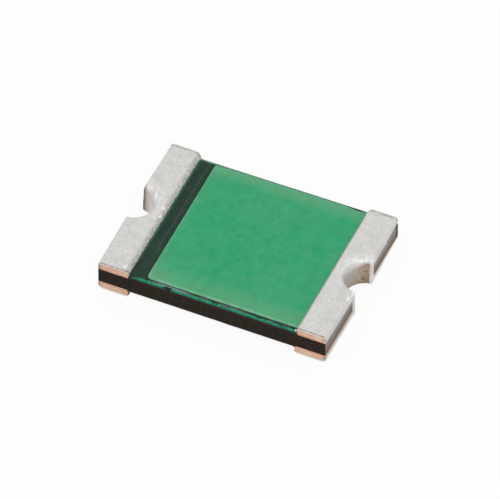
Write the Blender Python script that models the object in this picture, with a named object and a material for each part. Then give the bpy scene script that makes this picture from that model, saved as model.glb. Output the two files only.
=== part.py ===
"""Surface-mount resettable fuse: a chip of conductive polymer between two etched foils.

The chip lies along X with its solder pads at both ends, +Z is up, and the origin is under its
middle, on the plane that the lower pads stand on. All lengths are in metres.
"""

import math
import random
from collections import namedtuple

import bmesh
import bpy
from mathutils import Vector

MM = 0.001

# Outline over the sawn faces
CHIP_LENGTH = 4.513 * MM
CHIP_WIDTH = 3.24 * MM

# Layers, from the polymer core outwards, each laid on the next with a hair of clearance
CORE_THICKNESS = 0.315 * MM
FOIL_THICKNESS = 0.035 * MM
UPPER_COPPER = 0.067 * MM
LOWER_COPPER = 0.082 * MM
TIN_THICKNESS = 0.058 * MM
LAYER_GAP = 0.003 * MM

# Length of each pad, measured inwards from its end of the chip
LEFT_UPPER_PAD = 0.608 * MM
LEFT_LOWER_PAD = 0.590 * MM
RIGHT_UPPER_PAD = 0.568 * MM
RIGHT_LOWER_PAD = 0.612 * MM

# Half-moon notch in each end: what is left of a drilled and plated hole that the saw cut through
NOTCH_RADIUS = 0.38 * MM
NOTCH_OUTSET = 0.048 * MM
NOTCH_Y = 0.037 * MM
BARREL_COPPER = 0.035 * MM

# Knees between the notch's wall and the pads: the tin's radii, how far the upper one leans to the
# back of the chip, where it is wide, and how large the copper's knees are beside the tin's
UPPER_KNEE = 0.112 * MM
KNEE_LEAN = 0.062 * MM
LEFT_LOWER_KNEE = 0.050 * MM
RIGHT_LOWER_KNEE = 0.136 * MM
COPPER_KNEE_SHARE = 0.5
KNEE_RUNOUT = math.radians(82)

# Tin over the outer ends of the pads: thinner than on top, swollen towards the notch, and on the
# right end thicker at the front of the chip than at its back
END_TIN = 0.040 * MM
UPPER_SWELL = 0.018 * MM
LEFT_LOWER_SWELL = 0.042 * MM
RIGHT_LOWER_SWELL = 0.028 * MM
RIGHT_LOWER_TILT = 0.024 * MM

# Rounding of the pads' long edges, and of their inner corners at the back saw cut, where the left
# pad's inner edge is rounder than elsewhere
COPPER_OUTER_RADIUS = 0.060 * MM
COPPER_INNER_RADIUS = 0.035 * MM
TIN_UPPER_RADIUS = 0.050 * MM
TIN_LOWER_RADIUS = 0.100 * MM
LEFT_LIP_RADIUS = 0.040 * MM
RIGHT_LIP_RADIUS = 0.105 * MM
TIN_INNER_RADIUS = 0.075 * MM
TIN_SKIRT = 0.015 * MM
BACK_CORNER = 0.060 * MM
BACK_ROUNDING = 0.050 * MM

# Etched pattern of the foils: the isolating gap beside one pad, and the bare margins at the saw cuts
ETCHED_GAP = 0.312 * MM
FRONT_MARGIN = 0.100 * MM
BACK_MARGIN = 0.117 * MM
ETCHED_FRONT_CORNER = 0.120 * MM
ETCHED_BACK_CORNER = 0.060 * MM

# Solder mask: its thickness over each ground, and how it climbs the foil and the pads
MASK_OVER_FOIL = 0.050 * MM
MASK_OVER_GAP = 0.060 * MM
MASK_AT_MARGIN = 0.052 * MM
MASK_STEP = 0.040 * MM
MASK_WALL_LEAN = 0.004 * MM
MENISCUS_RISE = 0.015 * MM
MENISCUS_REACH = 0.070 * MM

# Chipped rim that the saw leaves on the mask's two long edges, and how much of it the lower mask has
RIM_WIDTH = 0.042 * MM
RIM_DROP = 0.034 * MM
WIDTH_WANDER = 0.45
DROP_WANDER = 0.22
WORN_REACH = 2.6 * MM
WORN_WIDTH = 1.2
BROKEN_AT = 1.365 * MM
BROKEN_REACH = 0.085 * MM
BROKEN_SHARE = 0.75
LOWER_CHIPPING = 0.7

# Fineness of the curved faces
RING_STEPS = 44
ARC_STEPS = 5
UPPER_MASK_PITCH = 0.055 * MM
LOWER_MASK_PITCH = 0.11 * MM
OVERCUT = 0.1 * MM

# Heights that follow from the layers
FOIL_STACK = 2 * LAYER_GAP + FOIL_THICKNESS
COPPER_BOTTOM = TIN_THICKNESS + LAYER_GAP
CORE_BOTTOM = COPPER_BOTTOM + LOWER_COPPER + FOIL_STACK
CORE_TOP = CORE_BOTTOM + CORE_THICKNESS
COPPER_TOP = CORE_TOP + FOIL_STACK + UPPER_COPPER
MIDDLE = (COPPER_BOTTOM + COPPER_TOP) / 2
MENISCUS_HEIGHT = FOIL_STACK + MASK_OVER_FOIL + MENISCUS_RISE

# Radii that follow from the plating in the notch
COPPER_BORE = NOTCH_RADIUS + TIN_THICKNESS + LAYER_GAP
COPPER_BARREL = COPPER_BORE + BARREL_COPPER
DRILLED_RADIUS = COPPER_BARREL + LAYER_GAP

# The plated copper stops short of the end of the chip, by the tin that covers it there
COPPER_SETBACK = END_TIN + LAYER_GAP

FRONT = -CHIP_WIDTH / 2
BACK = CHIP_WIDTH / 2

End = namedtuple(
    "End", "name side upper_pad lower_pad back_rounding lip_radius lower_knee lower_swell lower_tilt")
LEFT = End(
    "left", -1, LEFT_UPPER_PAD, LEFT_LOWER_PAD, BACK_ROUNDING, LEFT_LIP_RADIUS, LEFT_LOWER_KNEE,
    LEFT_LOWER_SWELL, 0.0)
RIGHT = End(
    "right", 1, RIGHT_UPPER_PAD, RIGHT_LOWER_PAD, 0.0, RIGHT_LIP_RADIUS, RIGHT_LOWER_KNEE,
    RIGHT_LOWER_SWELL, RIGHT_LOWER_TILT)

Face = namedtuple("Face", "name level up gap_end gap_pad far_end far_pad end_setback chipping")
UPPER = Face("upper", CORE_TOP, 1, LEFT, LEFT_UPPER_PAD, RIGHT, RIGHT_UPPER_PAD, COPPER_SETBACK, 1.0)
LOWER = Face(
    "lower", CORE_BOTTOM, -1, RIGHT, RIGHT_LOWER_PAD, LEFT, LEFT_LOWER_PAD, 0.0, LOWER_CHIPPING)


def clear_scene():
    for obj in list(bpy.data.objects):
        bpy.data.objects.remove(obj, do_unlink=True)


def material(name, red, green, blue, roughness, metallic):
    """Principled material with its colour given as sRGB values from 0 to 255."""
    made = bpy.data.materials.new(name)
    made.use_nodes = True
    shader = made.node_tree.nodes["Principled BSDF"]
    linear = [((value / 255 + 0.055) / 1.055) ** 2.4 for value in (red, green, blue)]
    shader.inputs["Base Color"].default_value = (*linear, 1.0)
    shader.inputs["Roughness"].default_value = roughness
    shader.inputs["Metallic"].default_value = metallic
    made.diffuse_color = (*linear, 1.0)
    return made


def finish(name, bm, finish_material=None, location=(0, 0, 0), parent=None):
    """Turn a bmesh into a named object at its place."""
    bmesh.ops.recalc_face_normals(bm, faces=bm.faces)
    mesh = bpy.data.meshes.new(name)
    bm.to_mesh(mesh)
    bm.free()
    mesh.shade_smooth()
    mesh.set_sharp_from_angle(angle=math.radians(32))
    obj = bpy.data.objects.new(name, mesh)
    bpy.context.collection.objects.link(obj)
    obj.location = location
    obj.parent = parent
    if finish_material:
        mesh.materials.append(finish_material)
    return obj


def cutter(name, bm, location=(0, 0, 0), parent=None):
    """A shape that only cuts others."""
    obj = finish(name, bm, None, location, parent)
    obj.hide_render = True
    obj.display_type = "WIRE"
    return obj


def cut(obj, tool):
    modifier = obj.modifiers.new("cut_" + tool.name, "BOOLEAN")
    modifier.operation = "DIFFERENCE"
    modifier.solver = "EXACT"
    modifier.object = tool


def prism(points, along):
    """Closed solid: a flat outline drawn out along a vector."""
    bm = bmesh.new()
    outline = bm.faces.new([bm.verts.new(point) for point in points])
    drawn = bmesh.ops.extrude_face_region(bm, geom=[outline])
    moved = [item for item in drawn["geom"] if isinstance(item, bmesh.types.BMVert)]
    bmesh.ops.translate(bm, verts=moved, vec=along)
    return bm


def loft(rows):
    """Closed solid through a row of sections, each a loop with as many points as the next."""
    bm = bmesh.new()
    loops = [[bm.verts.new(point) for point in row] for row in rows]
    for near, far in zip(loops, loops[1:]):
        for index in range(len(near)):
            bm.faces.new((near[index - 1], near[index], far[index], far[index - 1]))
    bm.faces.new(loops[0])
    bm.faces.new(loops[-1])
    bmesh.ops.remove_doubles(bm, verts=bm.verts, dist=LAYER_GAP / 100)
    return bm


def rounded(corners):
    """Outline through (x, y, radius) corners, each rounded as far as its two sides allow."""
    outline = []
    count = len(corners)
    for index, (x, y, radius) in enumerate(corners):
        corner = Vector((x, y))
        before = Vector(corners[index - 1][:2]) - corner
        after = Vector(corners[(index + 1) % count][:2]) - corner
        if radius <= 0 or min(before.length, after.length) < LAYER_GAP:
            outline.append(corner)
            continue
        half_angle = before.angle(after) / 2
        reach = min(radius / math.tan(half_angle), 0.48 * min(before.length, after.length))
        radius = reach * math.tan(half_angle)
        middle = (before.normalized() + after.normalized()).normalized()
        centre = corner + middle * (radius / math.sin(half_angle))
        start = corner + before.normalized() * reach - centre
        sweep = start.angle_signed(corner + after.normalized() * reach - centre)
        for step in range(ARC_STEPS + 1):
            turn = -sweep * step / ARC_STEPS
            turned = Vector((
                start.x * math.cos(turn) - start.y * math.sin(turn),
                start.x * math.sin(turn) + start.y * math.cos(turn)))
            outline.append(centre + turned)
    return outline


def inward(end, depth):
    """World X of a point that lies a depth inwards from one end of the chip."""
    return end.side * (CHIP_LENGTH / 2 - depth)


def notch_arc(radius, start_depth):
    """Points (depth, y) of a notch, from its front to its back, cut off at a depth."""
    limit = math.acos((start_depth + NOTCH_OUTSET) / radius)
    step = 2 * math.pi / RING_STEPS
    whole = int(limit / step - 0.1)
    angles = [-limit] + [step * count for count in range(-whole, whole + 1)] + [limit]
    return [
        (radius * math.cos(angle) - NOTCH_OUTSET, NOTCH_Y + radius * math.sin(angle))
        for angle in angles]


def plate(end, face_z, thickness, depth_from, depth_to, radius, overhang=0.0):
    """Flat plate at one end of the chip, as wide as the chip, with the notch in it."""
    arc = notch_arc(radius, depth_from)
    outline = [(depth_from, FRONT - overhang), *arc, (depth_from, BACK + overhang)]
    outline += [(depth_to, BACK + overhang), (depth_to, FRONT - overhang)]
    points = [(inward(end, depth), y, face_z) for depth, y in outline]
    return prism(points, (0, 0, thickness))


def core():
    """Sheet of filled polymer with the two drilled half-moons."""
    left = [(inward(LEFT, depth), y) for depth, y in notch_arc(DRILLED_RADIUS, 0)]
    right = [(inward(RIGHT, depth), y) for depth, y in notch_arc(DRILLED_RADIUS, 0)]
    outline = [(-CHIP_LENGTH / 2, FRONT), (CHIP_LENGTH / 2, FRONT), *right]
    outline += [(CHIP_LENGTH / 2, BACK), (-CHIP_LENGTH / 2, BACK), *reversed(left)]
    return prism([(x, y, 0) for x, y in outline], (0, 0, CORE_THICKNESS))


def foil_level(face):
    """Height of the lower side of a foil."""
    offset = LAYER_GAP if face.up > 0 else -LAYER_GAP - FOIL_THICKNESS
    return face.level + offset


def foil_electrode(face):
    """Etched foil: full width under its pad, narrower up to the isolating gap."""
    end = face.far_end
    neck = face.far_pad
    tip = CHIP_LENGTH - face.gap_pad - ETCHED_GAP
    front = FRONT + FRONT_MARGIN
    back = BACK - BACK_MARGIN
    arc = notch_arc(DRILLED_RADIUS, face.end_setback)
    outline = [(face.end_setback, FRONT, 0)]
    outline += [(depth, y, 0) for depth, y in arc]
    outline += [
        (face.end_setback, BACK, 0), (neck, BACK, 0), (neck, back, 0),
        (tip, back, ETCHED_BACK_CORNER), (tip, front, ETCHED_FRONT_CORNER), (neck, front, 0),
        (neck, FRONT, 0)]
    points = [(inward(end, point.x), point.y, 0) for point in rounded(outline)]
    return prism(points, (0, 0, FOIL_THICKNESS))


def foil_land(face):
    """What the etching leaves of the foil under the pad beside the gap."""
    return plate(face.gap_end, 0, FOIL_THICKNESS, face.end_setback, face.gap_pad, DRILLED_RADIUS)


def swelling(y):
    """Share of the end's swelling: whole beside the notch, nothing at the chip's corners."""
    reach = CHIP_WIDTH / 2 - abs(NOTCH_Y) - NOTCH_RADIUS
    return 1 - min(max((abs(y - NOTCH_Y) - NOTCH_RADIUS) / reach, 0), 1)


def in_corner(y):
    """Share of the way that a section lies inside the pads' corners at the back saw cut."""
    return min(max(1 - (BACK - y) / BACK_CORNER, 0), 1)


def corner_loss(y):
    """How far a pad's inner edge draws back, round the corner at the back saw cut."""
    return BACK_CORNER * (1 - math.sqrt(1 - in_corner(y) ** 2))


def pad_stations(overhang):
    """Places along Y where a terminal's section changes."""
    notch = [NOTCH_Y - NOTCH_RADIUS, NOTCH_Y + NOTCH_RADIUS]
    corner = [BACK - BACK_CORNER * share for share in (1, 0.6, 0.3, 0.1)]
    beyond = [BACK + overhang] if overhang else []
    return [FRONT - overhang, *notch, *corner, BACK, *beyond]


def terminal_block(end, grow, end_grow, flank_grow, radii, swell, overhang=0.0):
    """Block round both pads of an end, its long edges rounded, grown out from the copper's faces.

    Swell is 1 for the tin's outer skin, which is uneven along the end, and 0 for the even copper.
    """
    upper_radius, lower_radius, inner_radius = radii
    top = COPPER_TOP + grow
    bottom = COPPER_BOTTOM - grow
    rows = []
    for y in pad_stations(overhang):
        beside_notch = swelling(y)
        upper_outer = COPPER_SETBACK - end_grow - UPPER_SWELL * beside_notch * swell
        lower_swell = end.lower_swell * beside_notch - end.lower_tilt * min(max(y / BACK, -1), 1)
        lower_outer = COPPER_SETBACK - end_grow - lower_swell * swell
        lip_radius = lower_radius + (end.lip_radius - lower_radius) * beside_notch * swell
        upper_inner = end.upper_pad + flank_grow - corner_loss(y)
        lower_inner = end.lower_pad + flank_grow - corner_loss(y)
        top_radius = inner_radius + end.back_rounding * in_corner(y)
        corners = [
            (upper_inner, MIDDLE, 0), (upper_inner, top, top_radius),
            (upper_outer, top, upper_radius), (lower_outer, bottom, lip_radius),
            (lower_inner, bottom, inner_radius), (lower_inner, MIDDLE, 0)]
        rows.append([(inward(end, point.x), y, point.y) for point in rounded(corners)])
    return loft(rows)


def knee_flare(bore, knee, half_height):
    """Points (radius, height) of a knee, from the notch's wall to beyond the pad's face."""
    flare = []
    for step in range(ARC_STEPS + 1):
        turn = KNEE_RUNOUT * step / ARC_STEPS
        flare.append((bore + knee * (1 - math.cos(turn)), half_height - knee * (1 - math.sin(turn))))
    last_radius, last_height = flare[-1]
    rise = half_height + OVERCUT - last_height
    flare.append((last_radius + rise * math.tan(KNEE_RUNOUT), half_height + OVERCUT))
    flare.append((0, half_height + OVERCUT))
    return flare


def spool(end, grow, share, knee_grow=0.0):
    """Turned shape of the plated hole, shrunk by what has grown on its wall.

    Share is the size of its knees beside the tin's. The upper knee is leant to the back.
    """
    bore = COPPER_BORE - grow
    half_height = COPPER_TOP + grow - MIDDLE
    upper_knee = UPPER_KNEE * share + knee_grow
    upper = knee_flare(bore, upper_knee, half_height)
    lower = knee_flare(bore, end.lower_knee * share + knee_grow, half_height)
    profile = [(radius, -height) for radius, height in reversed(lower)] + upper
    bm = bmesh.new()
    ring = [bm.verts.new((radius, 0, height)) for radius, height in profile]
    edges = [bm.edges.new(pair) for pair in zip(ring, ring[1:])]
    bmesh.ops.spin(
        bm, geom=ring + edges, cent=(0, 0, 0), axis=(0, 0, 1), angle=2 * math.pi,
        steps=RING_STEPS, use_merge=True)
    bmesh.ops.remove_doubles(bm, verts=bm.verts, dist=LAYER_GAP / 100)
    for vert in bm.verts:
        flared = (vert.co.xy.length - bore) / upper_knee
        if vert.co.z > 0 and flared > 0:
            vert.co.y += KNEE_LEAN * share * min(flared, 1)
    return bm


def notch_axis(end):
    """Where the axis of the drilled hole stands, at half height."""
    return (inward(end, -NOTCH_OUTSET), NOTCH_Y, MIDDLE)


def laminate(end, bottom, top, radius):
    """Room of the foils and the core inside a terminal, which leaves the barrel standing."""
    reach = max(end.upper_pad, end.lower_pad) + OVERCUT
    return plate(end, bottom, top - bottom, -OVERCUT, reach, radius, OVERCUT)


def terminal_copper(end, finish_material, parent):
    """Plated copper: two pads and the half barrel that joins them."""
    radii = (COPPER_OUTER_RADIUS, COPPER_OUTER_RADIUS, COPPER_INNER_RADIUS)
    copper = finish(
        end.name + "_terminal_copper", terminal_block(end, 0, 0, 0, radii, 0), finish_material,
        parent=parent)
    hole = cutter(
        end.name + "_copper_hole", spool(end, 0, COPPER_KNEE_SHARE), notch_axis(end), parent)
    room = cutter(
        end.name + "_copper_room",
        laminate(end, CORE_BOTTOM - FOIL_STACK, CORE_TOP + FOIL_STACK, COPPER_BARREL), parent=parent)
    cut(copper, hole)
    cut(copper, room)
    return copper


def flank_room(end):
    """Room of the solder mask beside both pads, up to where the tin may begin."""
    height = MENISCUS_HEIGHT + LAYER_GAP
    near = min(end.upper_pad, end.lower_pad) - BACK_CORNER - COPPER_INNER_RADIUS / 2
    far = max(end.upper_pad, end.lower_pad) + OVERCUT
    bottom, top = CORE_BOTTOM - height, CORE_TOP + height
    corners = [(near, bottom), (far, bottom), (far, top), (near, top)]
    outline = [(inward(end, depth), FRONT - OVERCUT, z) for depth, z in corners]
    return prism(outline, (0, CHIP_WIDTH + 2 * OVERCUT, 0))


def terminal_tin(end, finish_material, parent):
    """Tin over the pads, their outer ends and the barrel, thinning out where the mask begins."""
    skin = LAYER_GAP + TIN_THICKNESS
    end_skin = LAYER_GAP + END_TIN
    flank_skin = LAYER_GAP + TIN_SKIRT
    radii = (TIN_UPPER_RADIUS, TIN_LOWER_RADIUS, TIN_INNER_RADIUS)
    tin = finish(
        end.name + "_terminal_tin",
        terminal_block(end, skin, end_skin, flank_skin, radii, 1), finish_material, parent=parent)
    hole = cutter(end.name + "_tin_hole", spool(end, skin, 1), notch_axis(end), parent)
    outer = COPPER_OUTER_RADIUS + LAYER_GAP
    copper_radii = (outer, outer, COPPER_INNER_RADIUS + LAYER_GAP)
    inside = cutter(
        end.name + "_tin_inside",
        terminal_block(end, LAYER_GAP, LAYER_GAP, LAYER_GAP, copper_radii, 0, OVERCUT), parent=parent)
    inside_hole = spool(end, LAYER_GAP, COPPER_KNEE_SHARE, LAYER_GAP)
    cut(inside, cutter(end.name + "_tin_inside_hole", inside_hole, notch_axis(end), parent))
    room = cutter(
        end.name + "_tin_room",
        laminate(end, CORE_BOTTOM - FOIL_STACK, CORE_TOP + LAYER_GAP, COPPER_BARREL), parent=parent)
    flank = cutter(end.name + "_tin_flank", flank_room(end), parent=parent)
    for tool in (hole, inside, room, flank):
        cut(tin, tool)
    return tin


def smooth_step(start, stop, value):
    share = min(max((value - start) / (stop - start), 0.0), 1.0)
    return share * share * (3 - 2 * share)


def mask_stations(face, pitch):
    """Depths from the end beside the gap at which the mask's section is drawn."""
    start = face.gap_pad + LAYER_GAP
    stop = CHIP_LENGTH - face.far_pad - LAYER_GAP
    foil_edge = face.gap_pad + ETCHED_GAP
    close = [start, start + MENISCUS_REACH / 4, start + MENISCUS_REACH / 2, start + MENISCUS_REACH]
    climb = [foil_edge - MASK_STEP / 2, foil_edge - MASK_WALL_LEAN - LAYER_GAP, foil_edge - LAYER_GAP]
    turns = [math.pi / 2 * step / ARC_STEPS for step in range(1, ARC_STEPS + 1)]
    for radius in (ETCHED_FRONT_CORNER, ETCHED_BACK_CORNER):
        climb += [foil_edge + radius - (radius + LAYER_GAP) * math.cos(turn) for turn in turns]
    far = [stop - MENISCUS_REACH, stop - MENISCUS_REACH / 2, stop - MENISCUS_REACH / 4, stop]
    fixed = close + climb + far
    count = max(2, round((stop - start) / pitch))
    even = [start + (stop - start) * step / count for step in range(1, count)]
    clear = [depth for depth in even if min(abs(depth - other) for other in fixed) > pitch / 3]
    return sorted(fixed + clear)


def etched_corner(past_edge, radius, grow):
    """How far the foil's long edge draws back near its corner, grown outwards by a clearance."""
    if past_edge >= radius:
        return -grow
    short = radius - max(past_edge, -grow)
    return radius - math.sqrt(max((radius + grow) ** 2 - short ** 2, 0))


def meniscus(distance, top, ground):
    """How far the mask stands above its ground level at a distance from a pad's flank."""
    share = 1 - smooth_step(0, MENISCUS_REACH, distance)
    return (top - ground) * share * share


def wander(knots, place):
    """Smooth curve through random values that stand one apart."""
    index = int(place)
    return knots[index] + (knots[index + 1] - knots[index]) * smooth_step(index, index + 1, place)


def solder_mask(face, pitch, seed):
    """Coat of solder mask between the pads: stepped over the foil's edge, chipped along the saw cuts."""
    chance = random.Random(seed)
    stations = mask_stations(face, pitch)
    start, stop = stations[0], stations[-1]
    knots = int((stop - start) / pitch) + 2
    sways = [
        [1 + chance.uniform(-reach, reach) for knot in range(knots)]
        for reach in (WIDTH_WANDER, DROP_WANDER, WIDTH_WANDER, DROP_WANDER)]
    foil_edge = face.gap_pad + ETCHED_GAP
    over_foil = FOIL_STACK + MASK_OVER_FOIL
    half_step = MASK_STEP / 2
    rows = []
    for depth in stations:
        past_edge = depth - foil_edge
        foil_front = FRONT + FRONT_MARGIN + etched_corner(past_edge, ETCHED_FRONT_CORNER, 0)
        foil_back = BACK - BACK_MARGIN - etched_corner(past_edge, ETCHED_BACK_CORNER, 0)
        room_front = FRONT + FRONT_MARGIN + etched_corner(past_edge, ETCHED_FRONT_CORNER, LAYER_GAP)
        room_back = BACK - BACK_MARGIN - etched_corner(past_edge, ETCHED_BACK_CORNER, LAYER_GAP)
        on_foil = smooth_step(foil_edge - half_step, foil_edge + half_step, depth)
        middle = MASK_OVER_GAP + (over_foil - MASK_OVER_GAP) * on_foil
        margin = MASK_AT_MARGIN
        climb_start = meniscus(depth - start, MENISCUS_HEIGHT, middle)
        climb_stop = meniscus(stop - depth, MENISCUS_HEIGHT, middle)
        climb = max(climb_start, climb_stop)
        middle += climb
        margin += climb * (MENISCUS_HEIGHT - MASK_AT_MARGIN) / (MENISCUS_HEIGHT - MASK_OVER_GAP)
        margin = min(margin, middle)
        ground = LAYER_GAP if past_edge < -LAYER_GAP * 1.5 else FOIL_STACK
        section = [
            (FRONT, LAYER_GAP), (room_front - MASK_WALL_LEAN, LAYER_GAP), (room_front, ground),
            (room_back, ground), (room_back + MASK_WALL_LEAN, LAYER_GAP), (BACK, LAYER_GAP)]
        broken = BROKEN_SHARE * (1 - smooth_step(0, BROKEN_REACH, abs(depth - BROKEN_AT)))
        sway = [wander(knot_values, (depth - start) / pitch) for knot_values in sways]
        back_rim = [RIM_WIDTH * face.chipping * sway[0], RIM_DROP * face.chipping * sway[1]]
        front_rim = [RIM_WIDTH * face.chipping * sway[2], RIM_DROP * face.chipping * sway[3]]
        front_rim[1] += (margin - LAYER_GAP * 2 - front_rim[1]) * broken * face.chipping
        worn = face.chipping * (1 - smooth_step(0, WORN_REACH, depth - start))
        back_rim[0] = min(back_rim[0] * (1 + WORN_WIDTH * worn), BACK_MARGIN - half_step - LAYER_GAP)
        back_rim[1] += (margin - LAYER_GAP * 2 - back_rim[1]) * worn
        half_way = (margin + middle) / 2
        section += [
            (BACK, margin - back_rim[1]), (BACK - back_rim[0], margin),
            (foil_back + half_step, margin), (foil_back, half_way), (foil_back - half_step, middle),
            (foil_front + half_step, middle), (foil_front, half_way), (foil_front - half_step, margin),
            (FRONT + front_rim[0], margin), (FRONT, margin - front_rim[1])]
        x = inward(face.gap_end, depth)
        rows.append([(x, y, face.up * height) for y, height in section])
    return loft(rows)


def build():
    clear_scene()
    chip = bpy.data.objects.new("resettable_fuse", None)
    bpy.context.collection.objects.link(chip)
    chip.empty_display_size = CHIP_WIDTH / 2

    polymer = material("carbon_filled_polymer", 43, 36, 33, 0.42, 0.0)
    foil = material("electrode_foil", 214, 160, 128, 0.35, 1.0)
    copper = material("plated_copper", 217, 158, 124, 0.38, 1.0)
    tin = material("matte_tin", 207, 205, 203, 0.45, 1.0)
    mask = material("green_solder_mask", 47, 158, 106, 0.4, 0.0)

    finish("ptc_core", core(), polymer, (0, 0, CORE_BOTTOM), chip)
    for face in (UPPER, LOWER):
        place = (0, 0, foil_level(face))
        finish(face.name + "_foil_electrode", foil_electrode(face), foil, place, chip)
        finish(face.name + "_foil_land", foil_land(face), foil, place, chip)
    for end in (LEFT, RIGHT):
        terminal_copper(end, copper, chip)
        terminal_tin(end, tin, chip)
    for face, pitch, seed in ((UPPER, UPPER_MASK_PITCH, 4), (LOWER, LOWER_MASK_PITCH, 9)):
        finish(face.name + "_solder_mask", solder_mask(face, pitch, seed), mask, (0, 0, face.level), chip)


build()
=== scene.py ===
"""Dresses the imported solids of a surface-mount resettable fuse, and sets the stage for it."""

import math

import bmesh
import bpy
from mathutils import Matrix, Vector, noise


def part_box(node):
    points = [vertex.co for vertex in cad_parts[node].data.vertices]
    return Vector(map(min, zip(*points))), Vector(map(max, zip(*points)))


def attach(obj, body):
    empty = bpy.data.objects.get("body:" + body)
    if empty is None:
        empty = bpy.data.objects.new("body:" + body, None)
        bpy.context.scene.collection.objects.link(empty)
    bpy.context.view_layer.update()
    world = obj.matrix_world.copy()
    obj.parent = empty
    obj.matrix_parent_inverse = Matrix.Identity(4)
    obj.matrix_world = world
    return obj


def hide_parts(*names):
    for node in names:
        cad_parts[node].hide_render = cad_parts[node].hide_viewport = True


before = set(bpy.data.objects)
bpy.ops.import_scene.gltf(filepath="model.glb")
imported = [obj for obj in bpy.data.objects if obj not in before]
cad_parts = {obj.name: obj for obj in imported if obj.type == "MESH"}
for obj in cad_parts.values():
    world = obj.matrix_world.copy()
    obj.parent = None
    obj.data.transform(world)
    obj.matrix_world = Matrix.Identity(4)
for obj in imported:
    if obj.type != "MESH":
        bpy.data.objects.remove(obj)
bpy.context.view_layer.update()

bl_info = {
    "name": "Resettable Fuse Chip",
    "version": (1, 0, 0),
    "blender": (4, 5, 0),
    "location": "3D View > Sidebar > Fuse Chip",
    "description": "Builds the plating, coat and sawn faces of a surface-mount resettable fuse",
    "category": "Add Mesh",
}

MM = 0.001
WELD = 0.0001 * MM
CLEARANCE = 0.003 * MM  # that the solids leave between two layers

# Where the solids lie
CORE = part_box("ptc_core")
UPPER_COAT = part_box("upper_solder_mask")
LOWER_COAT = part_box("lower_solder_mask")
UPPER_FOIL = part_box("upper_foil_electrode")
LOWER_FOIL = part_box("lower_foil_electrode")
TERMINALS = {side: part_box(side + "_terminal_tin") for side in ("left", "right")}
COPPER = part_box("right_terminal_copper")
END, SIDE = CORE[1].x / MM, CORE[1].y / MM  # the sawn end and side, in millimetres

# What the vertices of the tin and of the coats tell their materials
# The last tin mark is painted highlight and reflection; the third is painted shade along the pads'
# inner edges
TIN_MARKS = ("stain", "spot", "edge_shade", "burr", "bare", "painted_highlight")
COAT_MARKS = ("inside", "chipped", "hole")

# Places on the tin in millimetres: deep pits in the right half-moon, and spots of painted
# highlight, the last on a loose bead of tin
PITS = ((2.165, 0.392, 0.41), (2.110, 0.370, 0.21))
HIGHLIGHT_SPOTS = (
    (-1.723, 0.078, 0.64), (-1.700, -0.124, 0.63), (-1.763, -1.511, 0.64), (-1.980, 0.318, 0.62),
    (-1.995, 0.355, 0.63), (2.240, -1.615, 0.470), (2.258, -0.410, 0.65), (2.245, -0.570, 0.65),
    (1.660, -1.598, 0.583))
LOOSE_CRUMB = HIGHLIGHT_SPOTS[-1]
LOOSE_CRUMB_RADIUS = 0.02


def linear(colour):
    """Turn a hex colour, as a screen shows it, into the linear values that shaders take."""
    shown = [int(colour[start:start + 2], 16) / 255 for start in (1, 3, 5)]
    steps = [
        value / 12.92 if value <= 0.04045 else ((value + 0.055) / 1.055) ** 2.4
        for value in shown]
    return (*steps, 1.0)


def colour_property(name, colour, description):
    return bpy.props.FloatVectorProperty(
        name=name, description=description, default=linear(colour), size=4, subtype="COLOR",
        min=0, max=1)


def length_property(name, length, description):
    return bpy.props.FloatProperty(
        name=name, description=description, default=length * MM, unit="LENGTH", subtype="DISTANCE",
        precision=6)


def share_property(name, share, description):
    return bpy.props.FloatProperty(
        name=name, description=description, default=share, min=0, soft_max=2, subtype="FACTOR")


class FuseStageSettings(bpy.types.PropertyGroup):
    """Camera, floor and light"""
    turn: bpy.props.FloatProperty(
        name="Turn", description="Angle of the camera round the chip, from front to right",
        default=math.radians(24.0115), subtype="ANGLE")
    height: bpy.props.FloatProperty(
        name="Height", description="Angle of the camera above the floor",
        default=math.radians(47.5062), subtype="ANGLE")
    roll: bpy.props.FloatProperty(
        name="Roll", description="Tilt of the picture", default=math.radians(0.16), subtype="ANGLE")
    distance: length_property("Distance", 347.9, "From the camera to the chip")
    frame_width: length_property("Frame width", 9.08265, "Width of the picture at the chip")
    aim: bpy.props.FloatVectorProperty(
        name="Aim", description="What the middle of the picture looks at, in metres",
        default=(0.00001435, 0.00004706, 0.00037111), subtype="TRANSLATION")
    key_power: bpy.props.FloatProperty(
        name="Key light", description="Power of the large soft light above the front",
        default=0.012, unit="POWER")
    key_size: length_property("Key size", 60, "Width of the large soft light")
    key_place: bpy.props.FloatVectorProperty(
        name="Key place", description="Place of the large soft light, in metres",
        default=(0.015, -0.045, 0.085), subtype="TRANSLATION")
    sky: share_property("Sky", 0.86, "Strength of the light from all round")
    floor_colour: colour_property("Floor", "#f2f2f1", "Paint of the floor")
    floor_reach: length_property("Floor reach", 600, "From the floor's middle to its edges")


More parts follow.
